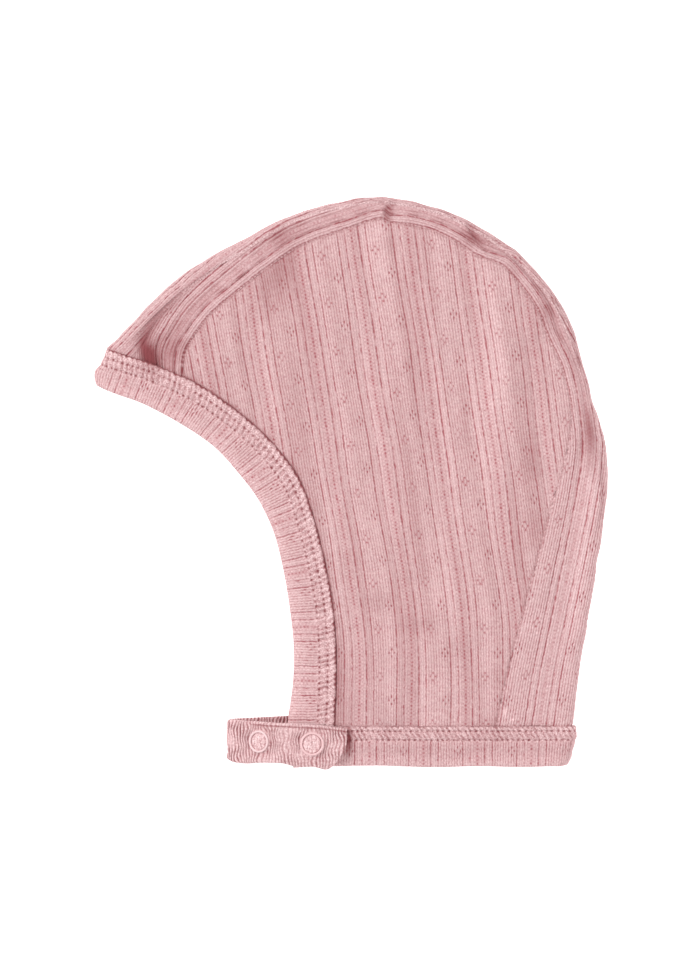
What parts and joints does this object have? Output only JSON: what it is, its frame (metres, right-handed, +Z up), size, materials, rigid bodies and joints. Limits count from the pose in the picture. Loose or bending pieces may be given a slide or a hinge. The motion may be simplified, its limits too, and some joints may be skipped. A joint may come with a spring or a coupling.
{
  "type": "baby helmet hat",
  "caption": "Close-fitting knitted baby hat that covers head, ears and nape, with bound face and neck openings and a snap-fastened chin strap, lying flat on its side.",
  "frame": {"origin": "centre of the hat's bounding box, on the surface it lies on", "axes": "+Z up from the surface to the wearer's left side, +Y from the neck to the crown, +X from the face to the nape"},
  "size_m": [0.2056, 0.2287, 0.0185],
  "materials": {
    "rib_knit": "matt cotton pointelle rib, dusty pink",
    "binding_knit": "matt cotton rib folded double, dusty pink",
    "strap_knit": "matt cotton rib folded double, dusty pink",
    "snap_ring": "glossy pale pink lacquer on a metal ring",
    "snap_cap": "glossy pale pink lacquer"
  },
  "bodies": {
    "root": {"side_panel_left": "rib_knit", "side_panel_right": "rib_knit", "centre_panel": "rib_knit", "face_binding": "binding_knit", "neck_binding": "binding_knit", "chin_strap": "strap_knit", "snap_ring_free": "snap_ring", "snap_ring_fastened": "snap_ring", "snap_cap_free": "snap_cap", "snap_cap_fastened": "snap_cap"}
  },
  "joints": []
}
